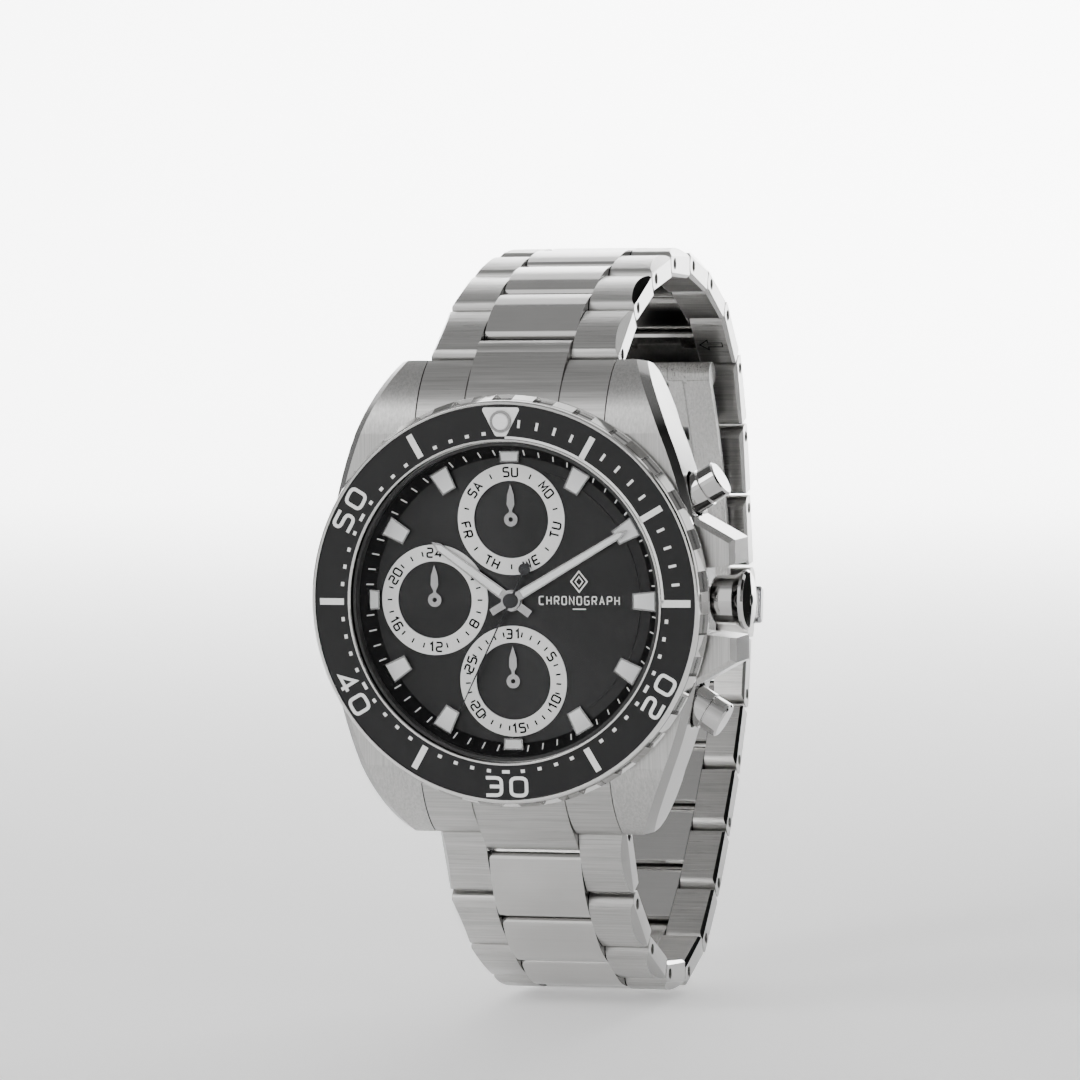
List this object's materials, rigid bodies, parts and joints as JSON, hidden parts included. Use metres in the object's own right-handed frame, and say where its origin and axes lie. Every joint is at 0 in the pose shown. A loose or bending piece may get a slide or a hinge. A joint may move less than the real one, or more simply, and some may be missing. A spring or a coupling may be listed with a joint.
{
  "type": "chronograph wristwatch",
  "caption": "Dive-style chronograph wristwatch with turning bezel, sub-counters, pushers and a folding steel link bracelet.",
  "frame": {"origin": "centre of the case back's outer face, where the watch rests on the wrist", "axes": "+Y from the dial towards the wrist (the dial faces -Y), +Z to twelve o'clock, +X to the crown"},
  "size_m": [0.0454, 0.0692, 0.079],
  "materials": {
    "case_steel": "brushed tops, polished flanks and bevels",
    "back_steel": "fine circular brushing",
    "gasket": "smooth",
    "crystal": "polished",
    "bezel_steel": "polished flank with matt notches",
    "insert_black": "satin black with white marks",
    "lume": "satin",
    "spring_steel": "satin",
    "rehaut_black": "matt black with white ticks",
    "dial_black": "dark sunburst",
    "index_steel": "polished, white filled",
    "counter_white": "satin white with black marks",
    "hand_steel": "polished, white filled",
    "movement_plastic": "moulded",
    "movement_brass": "fine turned",
    "battery_steel": "satin",
    "coil_copper": "lacquered copper wire",
    "board_green": "satin",
    "setting_steel": "turned",
    "control_steel": "polished",
    "link_steel": "brushed outer links, polished centres and bevels",
    "blade_steel": "brushed along the blade",
    "button_steel": "polished"
  },
  "bodies": {
    "case": {"case_middle": "case_steel", "case_back": "back_steel", "case_back_gasket": "gasket", "crystal_gasket": "gasket", "crystal": "crystal", "bezel_click_spring": "spring_steel", "rehaut_ring": "rehaut_black", "dial": "dial_black", "hour_indices": "index_steel", "subdial_rings": "counter_white", "movement_holder": "movement_plastic", "main_plate": "movement_brass", "train_bridge": "movement_brass", "battery": "battery_steel", "drive_coil": "coil_copper", "circuit_board": "board_green", "crown_tube": "setting_steel", "pusher_tubes": "setting_steel", "end_link_top": "link_steel", "end_link_bottom": "link_steel", "spring_bars": "spring_steel"},
    "bezel": {"bezel": "bezel_steel", "bezel_insert": "insert_black", "bezel_pip": "lume"},
    "minute_hand": {"minute_hand": "hand_steel"},
    "hour_hand": {"hour_hand": "hand_steel"},
    "seconds_hand": {"seconds_hand": "hand_steel"},
    "weekday_hand": {"weekday_hand": "hand_steel"},
    "hour24_hand": {"hour24_hand": "hand_steel"},
    "date_hand": {"date_hand": "hand_steel"},
    "setting_lever": {"setting_lever": "setting_steel"},
    "crown": {"crown": "control_steel", "crown_stem": "setting_steel"},
    "pusher_start": {"pusher_start": "control_steel"},
    "pusher_reset": {"pusher_reset": "control_steel"},
    "lock_link": {"lock_link": "link_steel"},
    "lock_button_right": {"lock_button_right": "button_steel"},
    "lock_button_left": {"lock_button_left": "button_steel"},
    "fold_blade_inner": {"fold_blade_inner": "blade_steel"},
    "fold_blade_outer": {"fold_blade_outer": "blade_steel"},
    "upper_row_01": {"link_upper_01": "link_steel"},
    "lower_row_01": {"link_lower_01": "link_steel"},
    "upper_row_02": {"link_upper_02": "link_steel"},
    "lower_row_02": {"link_lower_02": "link_steel"},
    "upper_row_03": {"link_upper_03": "link_steel"},
    "lower_row_03": {"link_lower_03": "link_steel"},
    "upper_row_04": {"link_upper_04": "link_steel"},
    "lower_row_04": {"link_lower_04": "link_steel"},
    "upper_row_05": {"link_upper_05": "link_steel"},
    "lower_row_05": {"link_lower_05": "link_steel"},
    "upper_row_06": {"link_upper_06": "link_steel"},
    "lower_row_06": {"link_lower_06": "link_steel"},
    "upper_row_07": {"link_upper_07": "link_steel"},
    "lower_row_07": {"link_lower_07": "link_steel"},
    "upper_row_08": {"link_upper_08": "link_steel"},
    "lower_row_08": {"link_lower_08": "link_steel"},
    "upper_row_09": {"link_upper_09": "link_steel"},
    "lower_row_09": {"link_lower_09": "link_steel"},
    "upper_row_10": {"link_upper_10": "link_steel"},
    "lower_row_10": {"link_lower_10": "link_steel"}
  },
  "joints": [
    {"name": "minute_turn", "type": "hinge", "parent": "case", "child": "minute_hand", "pos_m": [0, -0.0085, 0], "axis": [0, 1, 0], "continuous": true},
    {"name": "seconds_turn", "type": "hinge", "parent": "case", "child": "seconds_hand", "pos_m": [0, -0.0088, 0], "axis": [0, 1, 0], "continuous": true},
    {"name": "hour_turn", "type": "hinge", "parent": "case", "child": "hour_hand", "pos_m": [0, -0.0082, 0], "axis": [0, 1, 0], "continuous": true},
    {"name": "hour24_turn", "type": "hinge", "parent": "case", "child": "hour24_hand", "pos_m": [-0.00825, -0.008, 0], "axis": [0, 1, 0], "continuous": true},
    {"name": "weekday_turn", "type": "hinge", "parent": "case", "child": "weekday_hand", "pos_m": [0, -0.008, 0.00825], "axis": [0, 1, 0], "continuous": true},
    {"name": "date_turn", "type": "hinge", "parent": "case", "child": "date_hand", "pos_m": [0, -0.008, -0.00825], "axis": [0, 1, 0], "continuous": true},
    {"name": "bezel_turn", "type": "hinge", "parent": "case", "child": "bezel", "pos_m": [0, -0.01, 0], "axis": [0, 1, 0], "continuous": true},
    {"name": "crown_pull", "type": "slide", "parent": "case", "child": "setting_lever", "axis": [1, 0, 0], "range_m": [0, 0.001]},
    {"name": "crown_turn", "type": "hinge", "parent": "setting_lever", "child": "crown", "pos_m": [0.022, -0.005, 0], "axis": [1, 0, 0], "continuous": true},
    {"name": "pusher_start_push", "type": "slide", "parent": "case", "child": "pusher_start", "axis": [-0.866, 0, -0.5], "range_m": [0, 0.0008], "stiffness_N_per_m": 800, "springref_m": -0.0006},
    {"name": "pusher_reset_push", "type": "slide", "parent": "case", "child": "pusher_reset", "axis": [-0.866, 0, 0.5], "range_m": [0, 0.0008], "stiffness_N_per_m": 800, "springref_m": -0.0006},
    {"name": "upper_hinge_01", "type": "hinge", "parent": "case", "child": "upper_row_01", "pos_m": [0, -0.0008, 0.0247], "axis": [1, 0, 0], "range_deg": [-4.08, 0]},
    {"name": "upper_hinge_02", "type": "hinge", "parent": "upper_row_01", "child": "upper_row_02", "pos_m": [0, 0.006, 0.02929], "axis": [1, 0, 0], "range_deg": [0, 0.87]},
    {"name": "upper_hinge_03", "type": "hinge", "parent": "upper_row_02", "child": "upper_row_03", "pos_m": [0, 0.0137, 0.03209], "axis": [1, 0, 0], "range_deg": [0, 8.25]},
    {"name": "upper_hinge_04", "type": "hinge", "parent": "upper_row_03", "child": "upper_row_04", "pos_m": [0, 0.02178, 0.03351], "axis": [1, 0, 0], "range_deg": [0, 14.79]},
    {"name": "upper_hinge_05", "type": "hinge", "parent": "upper_row_04", "child": "upper_row_05", "pos_m": [0, 0.02997, 0.03308], "axis": [1, 0, 0], "range_deg": [0, 18.17]},
    {"name": "upper_hinge_06", "type": "hinge", "parent": "upper_row_05", "child": "upper_row_06", "pos_m": [0, 0.03789, 0.03096], "axis": [1, 0, 0], "range_deg": [0, 16.81]},
    {"name": "upper_hinge_07", "type": "hinge", "parent": "upper_row_06", "child": "upper_row_07", "pos_m": [0, 0.04526, 0.02737], "axis": [1, 0, 0], "range_deg": [0, 11.05]},
    {"name": "upper_hinge_08", "type": "hinge", "parent": "upper_row_07", "child": "upper_row_08", "pos_m": [0, 0.05085, 0.02137], "axis": [1, 0, 0], "range_deg": [0, 4.35]},
    {"name": "upper_hinge_09", "type": "hinge", "parent": "upper_row_08", "child": "upper_row_09", "pos_m": [0, 0.05366, 0.01367], "axis": [1, 0, 0], "range_deg": [0, 0.2]},
    {"name": "upper_hinge_10", "type": "hinge", "parent": "upper_row_09", "child": "upper_row_10", "pos_m": [0, 0.05522, 0.00562], "axis": [1, 0, 0], "range_deg": [-1.24, 0]},
    {"name": "lock_hinge", "type": "hinge", "parent": "upper_row_10", "child": "lock_link", "pos_m": [0, 0.05622, -0.00252], "axis": [1, 0, 0], "range_deg": [-54.96, 0]},
    {"name": "lock_button_right_push", "type": "slide", "parent": "lock_link", "child": "lock_button_right", "axis": [-1, 0, 0], "range_m": [0, 0.0008], "stiffness_N_per_m": 800, "springref_m": -0.0006},
    {"name": "lock_button_left_push", "type": "slide", "parent": "lock_link", "child": "lock_button_left", "axis": [1, 0, 0], "range_m": [0, 0.0008], "stiffness_N_per_m": 800, "springref_m": -0.0006},
    {"name": "lower_hinge_01", "type": "hinge", "parent": "case", "child": "lower_row_01", "pos_m": [0, -0.0008, -0.0247], "axis": [1, 0, 0], "range_deg": [0, 4.08]},
    {"name": "lower_hinge_02", "type": "hinge", "parent": "lower_row_01", "child": "lower_row_02", "pos_m": [0, 0.00254, -0.03219], "axis": [1, 0, 0], "range_deg": [0, 8.18]},
    {"name": "lower_hinge_03", "type": "hinge", "parent": "lower_row_02", "child": "lower_row_03", "pos_m": [0, 0.00863, -0.03768], "axis": [1, 0, 0], "range_deg": [0, 4.64]},
    {"name": "lower_hinge_04", "type": "hinge", "parent": "lower_row_03", "child": "lower_row_04", "pos_m": [0, 0.016, -0.04127], "axis": [1, 0, 0], "range_deg": [0, 1.31]},
    {"name": "lower_hinge_05", "type": "hinge", "parent": "lower_row_04", "child": "lower_row_05", "pos_m": [0, 0.02415, -0.04213], "axis": [1, 0, 0], "range_deg": [-1.11, 0]},
    {"name": "lower_hinge_06", "type": "hinge", "parent": "lower_row_05", "child": "lower_row_06", "pos_m": [0, 0.03195, -0.0396], "axis": [1, 0, 0], "range_deg": [-2.39, 0]},
    {"name": "lower_hinge_07", "type": "hinge", "parent": "lower_row_06", "child": "lower_row_07", "pos_m": [0, 0.03823, -0.03432], "axis": [1, 0, 0], "range_deg": [-2.82, 0]},
    {"name": "lower_hinge_08", "type": "hinge", "parent": "lower_row_07", "child": "lower_row_08", "pos_m": [0, 0.04383, -0.02833], "axis": [1, 0, 0], "range_deg": [-3.47, 0]},
    {"name": "lower_hinge_09", "type": "hinge", "parent": "lower_row_08", "child": "lower_row_09", "pos_m": [0, 0.04899, -0.02196], "axis": [1, 0, 0], "range_deg": [-4.67, 0]},
    {"name": "lower_hinge_10", "type": "hinge", "parent": "lower_row_09", "child": "lower_row_10", "pos_m": [0, 0.05333, -0.015], "axis": [1, 0, 0], "range_deg": [-6.56, 0]},
    {"name": "inner_blade_foot", "type": "hinge", "parent": "lower_row_10", "child": "fold_blade_inner", "pos_m": [0, 0.05424, -0.01013], "axis": [1, 0, 0], "range_deg": [-7.87, 0]},
    {"name": "clasp_fold", "type": "hinge", "parent": "fold_blade_inner", "child": "fold_blade_outer", "pos_m": [0, 0.045, 0.021], "axis": [1, 0, 0], "range_deg": [0, 90]}
  ],
  "couplings": [
    {"joint": "hour_turn", "follows": "minute_turn", "ratio": 0.083333},
    {"joint": "hour24_turn", "follows": "minute_turn", "ratio": 0.041667},
    {"joint": "weekday_turn", "follows": "minute_turn", "ratio": 0.0059524},
    {"joint": "date_turn", "follows": "minute_turn", "ratio": 0.0013441},
    {"joint": "upper_hinge_01", "follows": "clasp_fold", "ratio": -0.044444},
    {"joint": "upper_hinge_02", "follows": "clasp_fold", "ratio": 0.009444},
    {"joint": "upper_hinge_03", "follows": "clasp_fold", "ratio": 0.089889},
    {"joint": "upper_hinge_04", "follows": "clasp_fold", "ratio": 0.16111},
    {"joint": "upper_hinge_05", "follows": "clasp_fold", "ratio": 0.19789},
    {"joint": "upper_hinge_06", "follows": "clasp_fold", "ratio": 0.18311},
    {"joint": "upper_hinge_07", "follows": "clasp_fold", "ratio": 0.12033},
    {"joint": "upper_hinge_08", "follows": "clasp_fold", "ratio": 0.047333},
    {"joint": "upper_hinge_09", "follows": "clasp_fold", "ratio": 0.002222},
    {"joint": "upper_hinge_10", "follows": "clasp_fold", "ratio": -0.013556},
    {"joint": "lock_hinge", "follows": "clasp_fold", "ratio": -0.59867},
    {"joint": "lower_hinge_01", "follows": "clasp_fold", "ratio": 0.044444},
    {"joint": "lower_hinge_02", "follows": "clasp_fold", "ratio": 0.089111},
    {"joint": "lower_hinge_03", "follows": "clasp_fold", "ratio": 0.050556},
    {"joint": "lower_hinge_04", "follows": "clasp_fold", "ratio": 0.014222},
    {"joint": "lower_hinge_05", "follows": "clasp_fold", "ratio": -0.012111},
    {"joint": "lower_hinge_06", "follows": "clasp_fold", "ratio": -0.026},
    {"joint": "lower_hinge_07", "follows": "clasp_fold", "ratio": -0.030667},
    {"joint": "lower_hinge_08", "follows": "clasp_fold", "ratio": -0.037778},
    {"joint": "lower_hinge_09", "follows": "clasp_fold", "ratio": -0.050889},
    {"joint": "lower_hinge_10", "follows": "clasp_fold", "ratio": -0.071444},
    {"joint": "inner_blade_foot", "follows": "clasp_fold", "ratio": -0.085778}
  ]
}
